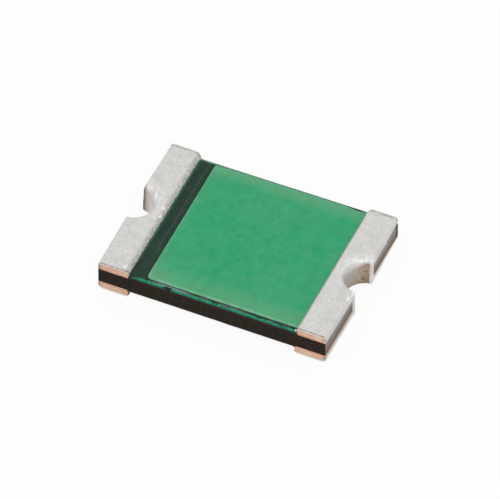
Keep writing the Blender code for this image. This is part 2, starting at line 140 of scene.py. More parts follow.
class FuseTinSettings(bpy.types.PropertyGroup):
    """Matte tin on the terminals"""
    face_size: length_property("Face size", 0.013, "Edge of the small faces that make the tin")
    lump_height: length_property("Lumps", 0.0035, "Height of the uneven places in the plated tin")
    lump_width: length_property("Lump width", 0.16, "Distance from lump to lump")
    pit_depth: length_property("Pits", 0.010, "Depth of the rough places in the half-moon")
    notch_y: length_property("Notch Y", 0.037, "Place of the half-moons along the chip's width")
    notch_outset: length_property("Notch outset", 0.048, "From the sawn end to their axis")
    notch_radius: length_property("Notch radius", 0.38, "Radius of the tinned wall")
    plating: colour_property("Plating", "#d6d5d3", "Matte tin on the pads")
    # Near white, for the painted sparkle of the grains and for the painted highlights
    glint_white: colour_property("Bright grain", "#f2f1f0", "Grains that catch the light")
    dull_grain: colour_property("Dull grain", "#b4b1ab", "Grains that turn away from the light")
    stain: colour_property("Stain", "#8d7a64", "Flux stain and oxide in the half-moon")
    spot: colour_property("Spots", "#55504a", "Deep pits in the half-moon")
    # Painted shade and reflection of the dark coat where the tin slopes down along the pads' inner
    # edges
    edge_shade: colour_property("Skirt", "#9a9c92", "Thin tin where the pads meet the coat")
    burr: colour_property("Burr", "#75634f", "Tin that the saw smeared over the pads' edges")
    bare: colour_property("Bare copper", "#cba583", "Copper that shows through thin tin")
    sawn: colour_property("Sawn tin", "#d6cab8", "Tin that lies bare in the saw cut")


class FuseCoatSettings(bpy.types.PropertyGroup):
    """Green solder mask"""
    over_gap: length_property("Over the gap", 0.060, "Thickness on the polymer beside the foil")
    over_foil: length_property("Over the foil", 0.050, "Thickness on the foil")
    at_margin: length_property("At the margin", 0.052, "Thickness on the margins at the saw cuts")
    front_margin: length_property("Front margin", 0.100, "From the front saw cut to the foil")
    back_margin: length_property("Back margin", 0.117, "From the back saw cut to the foil")
    front_corner: length_property("Front corner", 0.090, "Radius of the foil's corner at the front")
    back_corner: length_property("Back corner", 0.040, "Radius of the foil's corner at the back")
    step: length_property("Step", 0.030, "Width of the step down from the foil")
    kink: length_property("Kink", 0.115, "From the foil's edge to where the coat begins to climb")
    meniscus: length_property("Meniscus", 0.012, "How far the coat climbs the pads' flanks")
    tuck: length_property("Tuck", 0.015, "How far the coat reaches under the edges of the tin")
    rim_width: length_property("Rim width", 0.058, "Mean width of the chipped rim")
    rim_drop: length_property("Rim drop", 0.010, "Mean depth of the chipped rim")
    lower_rim_width: length_property("Lower rim width", 0.029, "Mean width of the lower rim")
    lower_rim_drop: length_property("Lower rim drop", 0.024, "Mean depth of the lower rim")
    sag: length_property("Sag", 0.055, "How far the step at the back sags past the foil's edge")
    bay_at: length_property("Bay", 0.21, "From the far pad to a bay in the sagging step")
    bay_reach: length_property("Bay size", 0.20, "From the bay's middle to its ends")
    worn_reach: length_property("Worn reach", 3.4, "Length of the worn back rim")
    worn_width: length_property("Worn width", 0.092, "Width of the worn back rim at the left pad")
    chunk_at: length_property("Missing chunk", 1.365, "From the left end to a broken-out chunk")
    chunk_reach: length_property("Chunk size", 0.085, "From the chunk's middle to its ends")
    green: colour_property("Green", "#199c66", "Coat over copper foil")
    cool: colour_property("Cool green", "#3fb08a", "Cloudy places in the coat over the foil")
    pale: colour_property("Pale green", "#69a579", "Thin coat near the foil's edges")
    # Partly a painted highlight on the rounded edge of the step
    edge: colour_property("Edge green", "#8cc09a", "Thinnest coat, on the foil's very edge")
    dark: colour_property("Dark green", "#0c3328", "Coat over bare black polymer")
    # Painted shade in the corner at the foot of the step; also the dark of the broken rim's hole
    foot: colour_property("Foot of the step", "#0a1c17", "Coat in the corner below the foil's edge")
    # Grey for the mottle, and a painted highlight on the fold
    line: colour_property("Fold line", "#4a5044", "Where the coat begins to climb the foil")
    flank: colour_property("Flank", "#37835f", "Coat that climbs the pads' flanks")
    # Painted reflection on the narrow flat along the front margin
    ledge_sheen: colour_property("Ledge", "#8b8c9b", "Thin coat on the front margin")
    rim: colour_property("Broken rim", "#1f9a71", "Freshly broken resin")
    # Painted shade on broken resin
    rim_shade: colour_property("Rim shade", "#0c4c3a", "Broken resin that faces down or lies deep")
    # Near black on the lower part of the coat's cut face, next to the core
    cut_face_dark: colour_property("Smear", "#231c16", "Carbon that the saw wiped over the coat's cut face")


class FuseBodySettings(bpy.types.PropertyGroup):
    """Polymer, foils and copper"""
    polymer: colour_property("Polymer", "#1f1a15", "Sawn carbon-filled polymer")
    polymer_brown: colour_property("Brown polymer", "#30251b", "Where the saw left it rougher")
    # Painted sheen on the ends, lightest toward the top
    end_grey: colour_property("End grey", "#a09e9b", "Upper part of the smooth ends of the core")
    end_dark: colour_property("End dark", "#7a7269", "Middle of the smooth ends of the core")
    end_brown: colour_property("End brown", "#7c5f50", "Foot of the smooth ends of the core")
    copper: colour_property("Copper", "#dcab8e", "Sawn plated copper")
    copper_end: colour_property("Copper at the ends", "#e3c4b4", "Copper under the tin's ends")
    copper_light: colour_property("Light copper", "#f0d8c8", "Lines that the saw burnished")
    foil: colour_property("Foil", "#cf9672", "Sawn edge of the electrode foil")


def add(tree, kind, inputs, out=None, **settings):
    """Add a shader node with its settings, feed its inputs, and return one of its outputs."""
    node = tree.nodes.new("ShaderNode" + kind)
    for name, value in settings.items():
        setattr(node, name, value)
    for key, value in inputs.items():
        named = [socket for socket in node.inputs if socket.enabled and socket.name == key]
        socket = named[0] if named else node.inputs[key]
        if isinstance(value, bpy.types.NodeSocket):
            tree.links.new(value, socket)
        else:
            socket.default_value = value
    return next(socket for socket in node.outputs if socket.enabled and out in (None, socket.name))


def new_material(name):
    """A material, its nodes, its shader, and the place on the object in millimetres."""
    material = bpy.data.materials.new(name)
    material.use_nodes = True
    tree = material.node_tree
    place = add(tree, "TexCoord", {}, out="Object")
    place = add(tree, "Mapping", {"Vector": place, "Scale": (1 / MM,) * 3})
    return material, tree, tree.nodes["Principled BSDF"], place


def merged_copy(name):
    """A solid's mesh, its loose triangles joined."""
    bm = bmesh.new()
    bm.from_mesh(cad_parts[name].data)
    bmesh.ops.remove_doubles(bm, verts=bm.verts, dist=WELD)
    return bm


def even_faces(bm, size):
    """Rebuild a closed mesh from small even faces; it is remeshed at a thousand times its size."""
    bmesh.ops.scale(bm, vec=(1 / MM,) * 3, verts=bm.verts)
    mesh = bpy.data.meshes.new("before_remesh")
    bm.to_mesh(mesh)
    bm.free()
    piece = bpy.data.objects.new("before_remesh", mesh)
    bpy.context.scene.collection.objects.link(piece)
    remesh = piece.modifiers.new("even_faces", "REMESH")
    remesh.mode = "VOXEL"
    remesh.voxel_size = size / MM
    even = bmesh.new()
    even.from_object(piece, bpy.context.evaluated_depsgraph_get())
    bpy.data.objects.remove(piece)
    bmesh.ops.scale(even, vec=(MM,) * 3, verts=even.verts)
    return even


def finished(name, bm, material, slot, *nodes, sharp=50):
    """Turn a bmesh into a smooth-shaded piece that rides on the chip and stands for solids."""
    mesh = bpy.data.meshes.new(name)
    bm.to_mesh(mesh)
    bm.free()
    mesh.shade_smooth()
    mesh.set_sharp_from_angle(angle=math.radians(sharp))
    mesh.materials.append(material)
    piece = bpy.data.objects.new(name, mesh)
    bpy.context.scene.collection.objects.link(piece)
    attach(piece, "root")
    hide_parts(*nodes)
    return piece


def rise(start, stop, value):
    """0 before start, 1 after stop, and a smooth climb between them."""
    share = min(max((value - start) / (stop - start), 0.0), 1.0)
    return share * share * (3 - 2 * share)


def grain(point, size, seed):
    """Smooth noise from -1 to 1 whose waves are a given size."""
    return noise.noise(Vector(point) / size + Vector((seed, seed * 1.7, seed * 0.3)))


# Matte tin, electroplated from a bath without brightener: grains a few hundredths of a
# millimetre wide scatter the light, so it is pale grey with a fine painted sparkle and no clear
# reflections, but with painted highlights on the knees and lips and painted shade along the
# pads' inner edges; where the saw went through, it is smeared and browner
def tin_material(tin):
    material, tree, shader, place = new_material("matte_tin_plating")
    # The last of these marks is painted highlight and painted reflection
    stain, spot, edge_shade, burr, bare, painted_highlight = (
        add(tree, "Attribute", {}, out="Fac", attribute_name=mark) for mark in TIN_MARKS)
    fine = add(tree, "TexNoise", {"Vector": place, "Scale": 1 / 0.027, "Detail": 2.0}, out="Fac")
    broad = add(tree, "TexNoise", {"Vector": place, "Scale": 1 / 0.22, "Detail": 3.0}, out="Fac")
    glint = add(tree, "MapRange", {
        "Value": fine, "From Min": 0.54, "From Max": 0.74, "To Max": 0.6})
    dull = add(tree, "MapRange", {
        "Value": fine, "From Min": 0.46, "From Max": 0.26, "To Max": 0.42})
    cloudy = add(tree, "MapRange", {
        "Value": broad, "From Min": 0.46, "From Max": 0.72, "To Max": 0.3})
    blotch = add(tree, "TexNoise", {"Vector": place, "Scale": 1 / 0.07, "Detail": 4.0}, out="Fac")
    blotch = add(tree, "MapRange", {
        "Value": blotch, "From Min": 0.3, "From Max": 0.7, "To Min": 0.75, "To Max": 1.15})
    stain = add(tree, "Math", {0: stain, 1: blotch}, operation="MULTIPLY", use_clamp=True)
    # Streaks that break up the painted shade along the pads' inner edges
    worn = add(tree, "Mapping", {"Vector": place, "Scale": (1.0, 0.4, 1.0)})
    worn = add(tree, "TexNoise", {"Vector": worn, "Scale": 1 / 0.024, "Detail": 3.0}, out="Fac")
    worn = add(tree, "MapRange", {
        "Value": worn, "From Min": 0.62, "From Max": 0.42, "To Min": 0.2})
    edge_shade = add(tree, "Math", {0: edge_shade, 1: worn}, operation="MULTIPLY", use_clamp=True)

    # The section that lies bare in the saw cut: drawn out along it, with a seam round the copper
    drawn = add(tree, "Mapping", {"Vector": place, "Scale": (0.12, 1.0, 1.0)})
    drawn = add(tree, "TexNoise", {"Vector": drawn, "Scale": 1 / 0.02, "Detail": 3.0}, out="Fac")
    drawn = add(tree, "MapRange", {
        "Value": drawn, "From Min": 0.45, "From Max": 0.65, "To Max": 0.5})
    middle = (COPPER[0].z + COPPER[1].z) / 2 / MM
    copper_face = COPPER[1].z / MM - middle
    seam = add(tree, "SeparateXYZ", {"Vector": place}, out="Z")
    seam = add(tree, "Math", {0: seam, 1: middle}, operation="SUBTRACT")
    seam = add(tree, "Math", {0: seam}, operation="ABSOLUTE")
    seam = add(tree, "MapRange", {
        "Value": seam, "From Min": copper_face + 0.004, "From Max": copper_face + 0.018,
        "To Min": 0.55, "To Max": 0.0})
    cut = tin.sawn
    for share, paint in ((drawn, tin.glint_white), (seam, tin.burr)):
        cut = add(tree, "Mix", {"Factor": share, "A": cut, "B": paint}, data_type="RGBA")
    in_cut = add(tree, "SeparateXYZ", {"Vector": place}, out="Y")
    in_cut = add(tree, "Math", {0: in_cut}, operation="ABSOLUTE")
    in_cut = add(tree, "MapRange", {
        "Value": in_cut, "From Min": SIDE - 0.0006, "From Max": SIDE - 0.0002})

    colour = tin.plating
    for share, paint in (
            (glint, tin.glint_white), (dull, tin.dull_grain), (cloudy, tin.dull_grain),
            (stain, tin.stain), (spot, tin.spot), (edge_shade, tin.edge_shade), (burr, tin.burr),
            (bare, tin.bare), (in_cut, cut), (painted_highlight, tin.glint_white)):
        colour = add(tree, "Mix", {"Factor": share, "A": colour, "B": paint}, data_type="RGBA")
    tree.links.new(colour, shader.inputs["Base Color"])
    shader.inputs["Metallic"].default_value = 1.0
    rough = add(tree, "MapRange", {
        "Value": fine, "From Min": 0.3, "From Max": 0.7, "To Min": 0.62, "To Max": 0.46})
    tree.links.new(rough, shader.inputs["Roughness"])
    bump = add(tree, "Bump", {"Height": fine, "Distance": 0.005 * MM, "Strength": 0.55})
    tree.links.new(bump, shader.inputs["Normal"])
    return material


class TinnedEnd:
    """Marks and lumps of the tin on one terminal; places and lengths are in millimetres."""

    def __init__(self, tin, side):
        self.right = side == "right"
        self.sign = 1 if self.right else -1
        self.low, self.high = (corner / MM for corner in TERMINALS[side])
        self.axis = Vector((self.sign * (END + tin.notch_outset / MM), tin.notch_y / MM))
        self.wall = tin.notch_radius / MM
        self.lump_width = tin.lump_width / MM

    def on_knee(self, point):
        """Whether a place is on the round knee between the pad and the far half of the wall."""
        return (
            point.z > self.high.z - 0.2 and point.y > self.axis.y - 0.15
            and (point.xy - self.axis).length < self.wall + 0.25
            and self.sign * point.x < END - 0.04)

    def marks(self, point):
        """How strongly each of the marks shows at a place, from 0 to 1."""
        out = self.sign * point.x
        past_axis = point.y - self.axis.y
        radius = (point.xy - self.axis).length - self.wall
        depth = self.high.z - point.z
        inset = SIDE - abs(point.y)
        below_core = point.z < CORE[0].z / MM
        coat = LOWER_COAT if below_core else UPPER_COAT
        from_coat = abs(point.x - coat[1 if self.right else 0].x / MM)

        # Zones: near the chip's end, its very lip, the half-moon's far half, and its wall, which
        # begins lower where it lies deeper in the chip
        outer = rise(END - 0.30, END - 0.06, out)
        lip = rise(END - 0.040, END - 0.012, out)
        far = rise(-0.05, 0.10, past_axis)
        on_wall = (1 - rise(0.06, 0.16, radius)) * rise(
            0.07 - 0.05 * outer, 0.24 - 0.14 * outer, depth)

        # Burrs along the saw cuts, and on the lower pad's inner edge
        if point.y < 0:
            burr = 0.9 * (1 - rise(0.008, 0.032, inset))
        else:
            burr = 0.5 * (1 - rise(0.008, 0.030, abs(inset - 0.040)))
        burr *= rise(-0.6, 0.2, grain(point, 0.09, 6.1))
        if below_core:
            burr = max(burr, 0.7 * (1 - rise(0.04, 0.07, from_coat)))

        # Painted highlights on the far knee and at the highlight spots, and a painted reflection of
        # the white floor low on the lip
        knee = rise(-0.45, 0.10, past_axis) * rise(0.00, 0.07, radius)
        knee *= (1 - rise(0.12, 0.27, radius)) * (1 - rise(0.02, 0.09, depth))
        painted_highlight = 0.45 * knee * rise(-0.4, 0.3, grain(point, 0.05, 8.8))
        if point.z < self.low.z + (0.14 if self.right else 0.06):
            painted_highlight = max(painted_highlight, 0.5 * lip)
        for highlight_spot in HIGHLIGHT_SPOTS:
            away = point - Vector(highlight_spot)
            away = Vector((away.x, 0.5 * away.y, 0.4 * away.z))
            painted_highlight = max(painted_highlight, 1 - rise(0.014, 0.034, away.length))

        if not self.right:
            stain = on_wall * (0.06 + 0.44 * rise(END - 0.16, END - 0.03, out))
            burr = max(burr, 0.75 * lip * far * (1 - rise(0.47, 0.56, point.y)))
            # Painted shade along the left pad's inner edge
            edge_shade = 0.9 * (1 - rise(0.02, 0.12, from_coat))
            return dict(stain=stain, spot=0.0, edge_shade=edge_shade, burr=burr, bare=0.0, painted_highlight=painted_highlight)

        # The right half-moon is stained and pitted, and copper shows through at its lip, on the
        # far half of its wall and along the pad's inner edge
        low_down = rise(0.25, 0.60, depth)
        stain = on_wall * (0.52 + 0.27 * outer + 0.26 * low_down) * (1 - lip)
        spot = 0.5 * on_wall * outer * (1 - lip) * rise(0.22, 0.45, grain(point, 0.05, 3.1))
        for pit in PITS:
            spot = max(spot, 0.8 - 0.8 * rise(0.004, 0.060, (point - Vector(pit)).length))
        # Painted highlight along the lip of the right end, stronger on the far half
        lip_highlight = (0.35 if past_axis > 0 else 0.15) * (1 - rise(0.5, 0.7, abs(point.y)))
        painted_highlight = max(painted_highlight, lip_highlight * lip)
        bare = 0.35 * lip * rise(0.07, 0.11, depth) * (1 - far)
        bare *= 1 - rise(0.44, 0.52, -past_axis)
        bare = max(bare, 0.28 * on_wall * outer * far * (1 - 0.7 * low_down))
        if point.z > CORE[1].z / MM:
            edge = 1 - rise(0.008, 0.028, from_coat)
            bare = max(bare, 0.60 * edge * rise(-0.4, 0.3, grain(point, 0.12, 2.6)))
        # Fainter painted shade along the right pad's inner edge
        edge_shade = 0.3 * (1 - rise(0.01, 0.05, from_coat))
        return dict(stain=stain, spot=spot, edge_shade=edge_shade, burr=burr, bare=bare, painted_highlight=painted_highlight)

    def lump(self, point, edge_shade):
        """Height of the tin's unevenness, in shares of its usual height; streaky along the pads'
        inner edges.
        """
        streak = grain((point.x, 0.25 * point.y, point.z), 0.035, 4.4)
        waves = grain(point, self.lump_width, 1.3) + 0.4 * grain(point, self.lump_width / 3, 7.7)
        return waves + edge_shade * streak * (1.0 if self.right else 0.5)


class FUSE_OT_tin(bpy.types.Operator):
    """Plate both terminals with lumpy matte tin, stained in the half-moons"""
    bl_idname = "fuse_chip.tin"
    bl_label = "Tin Terminals"

    def execute(self, context):
        tin = context.scene.fuse_tin
        material = tin_material(tin)
        for side in TERMINALS:
            self.terminal(tin, material, side)
        return {"FINISHED"}

    def terminal(self, tin, material, side):
        """The solid drawn out past the saw cuts, remeshed, smoothed, marked and cut off again."""
        low, high = TERMINALS[side]
        end = TinnedEnd(tin, side)
        spare = 4 * tin.face_size
        bm = merged_copy(side + "_terminal_tin")
        for vert in bm.verts:
            if abs(vert.co.y) > CORE[1].y - WELD:
                vert.co.y += math.copysign(spare, vert.co.y)
        bm = even_faces(bm, tin.face_size)
        self.smooth(bm, bm.verts, turns=3)
        self.smooth(bm, [vert for vert in bm.verts if end.on_knee(vert.co / MM)], turns=14)
        if end.right:
            bmesh.ops.create_icosphere(
                bm, subdivisions=2, radius=LOOSE_CRUMB_RADIUS * MM,
                matrix=Matrix.Translation(Vector(LOOSE_CRUMB) * MM))
        bm.normal_update()
        layers = {mark: bm.verts.layers.float.new(mark) for mark in TIN_MARKS}
        for vert in bm.verts:
            point = vert.co / MM
            marks = end.marks(point)
            for mark, layer in layers.items():
                vert[layer] = marks[mark]
            lump = end.lump(point, marks["edge_shade"])
            vert.co += vert.normal * (lump * tin.lump_height - marks["spot"] * tin.pit_depth)
            vert.co.x = min(max(vert.co.x, low.x), high.x)
            vert.co.z = min(max(vert.co.z, low.z), high.z)
        self.saw(bm)
        finished(side + "_tin_plating", bm, material, "tin", side + "_terminal_tin")

    def saw(self, bm):
        """Cut the tin off at the chip's two long sides, and close it there."""
        for side in (-1, 1):
            cut = bmesh.ops.bisect_plane(
                bm, geom=bm.verts[:] + bm.edges[:] + bm.faces[:], dist=WELD,
                plane_co=(0, side * CORE[1].y, 0), plane_no=(0, side, 0), clear_outer=True)
            rims = [item for item in cut["geom_cut"] if isinstance(item, bmesh.types.BMEdge)]
            bmesh.ops.holes_fill(bm, edges=rims)

    def smooth(self, bm, verts, turns):
        for turn in range(turns):
            bmesh.ops.smooth_vert(
                bm, verts=verts, factor=0.5, use_axis_x=True, use_axis_y=True, use_axis_z=True)


class Coat:
    """Shape of the coat on one face of the core, in heights above that face."""

    def __init__(self, sizes, box, foil, level, up, gap_side):
        """The core's face lies at level; up and gap_side are 1 or -1, along Z and X."""
        self.sizes = sizes
        self.low, self.high = box
        self.level = level
        self.up = up
        self.gap_side = gap_side
        self.foil_edge = foil[0].x if gap_side < 0 else foil[1].x
        self.ground = max(abs(foil[0].z - level), abs(foil[1].z - level)) + CLEARANCE
        self.plateau = self.ground + sizes.over_foil
        self.front_foil = CORE[0].y + sizes.front_margin
        self.back_foil = CORE[1].y - sizes.back_margin

    def back_step(self, x):
        """Where the step at the back lies; the coat sags ever further past the foil's edge."""
        if self.up < 0:
            return self.back_foil
        along = min(max(self.past_edge(x) / (self.high.x - self.low.x), 0.0), 1.0)
        return self.back_foil + self.sizes.sag * (0.45 + along * (1 - 0.45 * self.bay(x)))

    def bay(self, x):
        """How deep a place lies in the bay of the step at the back, from 0 to 1."""
        away = abs(x - self.high.x + self.sizes.bay_at)
        return 1 - rise(0.25 * self.sizes.bay_reach, self.sizes.bay_reach, away)

    def past_edge(self, x):
        """How far a place lies past the foil's edge, onto the foil."""
        return (self.foil_edge - x) * self.gap_side

    def inside(self, x, y, back_edge):
        """How far a place lies inside a rounded outline over the foil; negative outside it."""
        past = self.past_edge(x)
        inset = y - self.front_foil if y < 0 else back_edge - y
        radius = self.sizes.front_corner if y < 0 else self.sizes.back_corner
        if max(past, inset) > radius:
            return min(past, inset)
        return radius - math.hypot(radius - past, radius - inset)

    def top(self, x, y):
        """Height of the coat before the saw chipped it."""
        sizes = self.sizes
        inside = self.inside(x, y, self.back_step(x))
        low = sizes.at_margin + (sizes.over_gap - sizes.at_margin) * rise(
            0.04 * MM, 0.16 * MM, CORE[1].y - abs(y))
        if self.past_edge(x) < 0:
            swell = rise(-sizes.kink, 0, self.past_edge(x)) * rise(
                0, 0.25 * MM, y - self.front_foil)
            low += 0.008 * MM * swell
        steep, gentle = rise(-sizes.step / 2, sizes.step / 2, inside), rise(0, 0.12 * MM, inside)
        flank = min(x - self.low.x, self.high.x - x)
        meniscus = (1 - rise(0, 0.07 * MM, flank)) ** 2
        climb = 0.84 * steep + 0.16 * gentle
        return low + (self.plateau - low) * climb + sizes.meniscus * meniscus

    def bottom(self, x, y):
        """Height of the ground that the coat lies on."""
        return self.ground if self.inside(x, y, self.back_foil) > 0 else CLEARANCE

    def missing(self, x, y):
        """Share of the coat that is gone at the broken-out chunk."""
        if self.up < 0 or y > 0:
            return 0.0
        reach = self.sizes.chunk_reach
        return 1 - rise(0.6 * reach, reach, abs(x - CORE[0].x - self.sizes.chunk_at))

    def shade(self, x, y):
        """How dark the broken rim is: in the chunk's hole, and in the bay at the back."""
        return 0.8 * self.bay(x) if self.up > 0 and y > 0 else self.missing(x, y)

    def rim(self, x, y, height):
        """Depth that the saw broke off the coat beside a long edge; a thin skin always stays."""
        sizes = self.sizes
        inset = CORE[1].y - abs(y)
        skin, worn_skin = 0.004 * MM, 0.006 * MM
        along = (x, math.copysign(MM, y), 0)
        width, drop = sizes.lower_rim_width, sizes.lower_rim_drop
        wave = 0.2 * grain(along, 0.20 * MM, 9.0)
        if self.up > 0:
            start = rise(0.02 * MM, 0.13 * MM, x - self.low.x)
            width, drop = sizes.rim_width * start, sizes.rim_drop * start
            wave = 0.28 * grain(along, 0.16 * MM, 2.0) + 0.22 * grain(along, 0.05 * MM, 5.0)
        width *= 1 + wave
        drop *= 1 + wave
        gone = self.missing(x, y)
        if self.up > 0 and y > 0:
            gone = 1 - rise(0, sizes.worn_reach, x - self.low.x)
            width += (sizes.worn_width - width) * gone
            width = min(width, CORE[1].y - self.back_step(x) - sizes.step / 2)
        drop += (height - worn_skin - drop) * gone
        if inset >= width:
            return 0.0
        share = 1 - inset / width
        facet = 0.003 * MM * grain((x, inset, 0), 0.022 * MM, 6.0)
        return min(drop * share ** 0.8 + facet * share, height - skin)


# Liquid solder mask, an epoxy print that cured to a semi-gloss skin: the copper under it makes
# it bright green, bare black polymer makes it near black, and broken resin scatters bright teal
def coat_material(coat, settings):
    name = "upper" if coat.up > 0 else "lower"
    material, tree, shader, place = new_material(name + "_epoxy_solder_mask")
    x, y, z = (add(tree, "SeparateXYZ", {"Vector": place}, out=axis) for axis in "XYZ")
    inside, chipped, hole = (
        add(tree, "Attribute", {}, out="Fac", attribute_name=mark) for mark in COAT_MARKS)
    past = add(tree, "Math", {
        0: x, 1: -coat.gap_side, 2: coat.foil_edge * coat.gap_side / MM}, operation="MULTIPLY_ADD")
    front = add(tree, "Math", {0: y, 1: coat.front_foil / MM}, operation="SUBTRACT")
    mottle = add(tree, "TexNoise", {"Vector": place, "Scale": 1 / 0.13, "Detail": 3.0}, out="Fac")
    cloud = add(tree, "TexNoise", {"Vector": place, "Scale": 1 / 0.9, "Detail": 2.0}, out="Fac")
    fine = add(tree, "TexNoise", {"Vector": place, "Scale": 1 / 0.035, "Detail": 1.0}, out="Fac")

    # Green over the foil, paler where the coat is thin, in a narrower band at the back
    narrower = 1.7
    back = add(tree, "Math", {
        0: y, 1: -narrower, 2: narrower * coat.back_foil / MM}, operation="MULTIPLY_ADD")
    thin = add(tree, "Math", {0: front, 1: back}, operation="MINIMUM")
    thin = add(tree, "MapRange", {
        "Value": thin, "From Min": 0.02, "From Max": 0.55, "To Min": 0.48, "To Max": 0.0},
        interpolation_type="SMOOTHSTEP")
    flank = add(tree, "MapRange", {
        "Value": past, "From Min": 0.02, "From Max": 0.30, "To Min": 0.14, "To Max": 0.0})
    thin = add(tree, "Math", {0: thin, 1: flank}, operation="ADD")
    for pattern, weight in ((cloud, 0.42), (mottle, 0.55), (fine, 0.65)):
        thin = add(tree, "Math", {0: pattern, 1: weight, 2: thin}, operation="MULTIPLY_ADD")
    thin = add(tree, "Math", {0: thin, 1: 0.66}, operation="SUBTRACT", use_clamp=True)
    haze = add(tree, "TexNoise", {
        "Vector": place, "Scale": 1 / 0.25, "Detail": 5.0, "Roughness": 0.62}, out="Fac")
    haze = add(tree, "MapRange", {
        "Value": haze, "From Min": 0.38, "From Max": 0.66, "To Max": 0.28})
    # A pale stripe on the foil's very edge: the thinnest coat, with a painted highlight on the
    # step's rounded edge, strongest toward the front
    lip = add(tree, "MapRange", {
        "Value": inside, "From Min": 0.005, "From Max": 0.055, "To Min": 0.65, "To Max": 0.0})
    near = add(tree, "MapRange", {
        "Value": front, "From Min": 0.06, "From Max": 0.40, "To Min": 1.0, "To Max": 0.35})
    blotch = add(tree, "MapRange", {
        "Value": mottle, "From Min": 0.38, "From Max": 0.58, "To Min": 0.45, "To Max": 1.1})
    lip = add(tree, "Math", {0: lip, 1: near}, operation="MULTIPLY")
    lip = add(tree, "Math", {0: lip, 1: blotch}, operation="MULTIPLY", use_clamp=True)
    green = settings.green
    for share, paint in ((thin, settings.pale), (haze, settings.cool), (lip, settings.edge)):
        green = add(tree, "Mix", {"Factor": share, "A": green, "B": paint}, data_type="RGBA")

    # Near black over bare polymer, with grey mottle, a painted highlight on the fold line, painted
    # shade at the step's foot, and the climb to the pad
    grey = add(tree, "MapRange", {
        "Value": mottle, "From Min": 0.40, "From Max": 0.64, "To Max": 0.22})
    fade = add(tree, "MapRange", {"Value": front, "From Min": 0.10, "From Max": 0.90})
    # Painted highlight on the fold where the coat begins to climb, fading out toward the front
    kink = add(tree, "Math", {0: past, 1: settings.kink / MM}, operation="ADD")
    kink = add(tree, "Math", {0: kink}, operation="ABSOLUTE")
    kink = add(tree, "MapRange", {
        "Value": kink, "From Min": 0.003, "From Max": 0.017, "To Min": 0.6, "To Max": 0.0})
    kink = add(tree, "Math", {0: kink, 1: fade}, operation="MULTIPLY")
    # Painted shade in the corner at the foot of the step
    foot = add(tree, "MapRange", {
        "Value": inside, "From Min": -0.050, "From Max": -0.020, "To Max": 0.75})
    pad = (coat.low.x if coat.gap_side < 0 else coat.high.x) / MM
    climb = add(tree, "Math", {0: x, 1: pad}, operation="SUBTRACT")
    climb = add(tree, "Math", {0: climb}, operation="ABSOLUTE")
    climb = add(tree, "MapRange", {
        "Value": climb, "From Min": 0.006, "From Max": 0.030, "To Min": 0.85, "To Max": 0.0})
    climb = add(tree, "Math", {0: climb, 1: fade}, operation="MULTIPLY")

    # Painted lilac-grey reflection on the narrow flat along the front margin, streaky, brightest
    # beside the missing chunk
    streak = add(tree, "TexNoise", {"Vector": place, "Scale": 1 / 0.22, "Detail": 4.0}, out="Fac")
    streak = add(tree, "MapRange", {
        "Value": streak, "From Min": 0.42, "From Max": 0.62, "To Max": 0.5})
    past_chunk = 0.08
    brightest = (CORE[0].x + settings.chunk_at) / MM + past_chunk
    chunk = add(tree, "Math", {0: x, 1: brightest}, operation="SUBTRACT")
    chunk = add(tree, "Math", {0: chunk}, operation="ABSOLUTE")
    chunk = add(tree, "MapRange", {"Value": chunk, "From Min": 0.46, "From Max": 0.20})
    streak = add(tree, "Math", {0: streak, 1: chunk}, operation="MAXIMUM")
    ledge_sheen = add(tree, "MapRange", {"Value": front, "From Min": -0.012, "From Max": -0.022})
    ledge_sheen = add(tree, "Math", {0: ledge_sheen, 1: streak}, operation="MULTIPLY")
    on_land = add(tree, "MapRange", {
        "Value": past, "From Min": 0.02, "From Max": 0.12, "To Max": 0.9})
    ledge_sheen = add(tree, "Math", {0: ledge_sheen, 1: on_land}, operation="MULTIPLY")
    dark = settings.dark
    for share, paint in (
            (grey, settings.line), (kink, settings.line), (foot, settings.foot),
            (climb, settings.flank), (ledge_sheen, settings.ledge_sheen)):
        dark = add(tree, "Mix", {"Factor": share, "A": dark, "B": paint}, data_type="RGBA")

    # Broken resin, with painted shade toward the back and toward the saw cut, and the lower part of
    # the coat's cut face painted near black
    margin = settings.front_margin / MM
    shard = add(tree, "TexNoise", {"Vector": place, "Scale": 1 / 0.07, "Detail": 2.0}, out="Fac")
    shard = add(tree, "MapRange", {
        "Value": shard, "From Min": 0.34, "From Max": 0.56, "To Min": 0.15})
    lit = add(tree, "MapRange", {
        "Value": y, "From Min": -1.0, "From Max": 1.0, "To Min": 1.0, "To Max": 0.6})
    deep = add(tree, "MapRange", {
        "Value": front, "From Min": -margin, "From Max": 0.03 - margin, "To Min": 0.25})
    for share in (lit, deep):
        shard = add(tree, "Math", {0: shard, 1: share}, operation="MULTIPLY")
    broken = add(tree, "Mix", {
        "Factor": shard, "A": settings.rim_shade, "B": settings.rim}, data_type="RGBA")
    # The lower part of the coat's cut face, next to the core, is painted near black below a ragged
    # top
    in_cut = add(tree, "Math", {0: y}, operation="ABSOLUTE")
    in_cut = add(tree, "MapRange", {
        "Value": in_cut, "From Min": SIDE - 0.0012, "From Max": SIDE - 0.0004})
    ragged = add(tree, "Math", {0: fine, 1: -0.04, 2: 0.066}, operation="MULTIPLY_ADD")
    depth = add(tree, "Math", {
        0: z, 1: coat.up, 2: -coat.up * coat.level / MM}, operation="MULTIPLY_ADD")
    wiped = add(tree, "Math", {0: ragged, 1: depth}, operation="SUBTRACT")
    wiped = add(tree, "MapRange", {"Value": wiped, "From Min": -0.003, "From Max": 0.003})
    wiped = add(tree, "Math", {0: wiped, 1: in_cut}, operation="MULTIPLY")

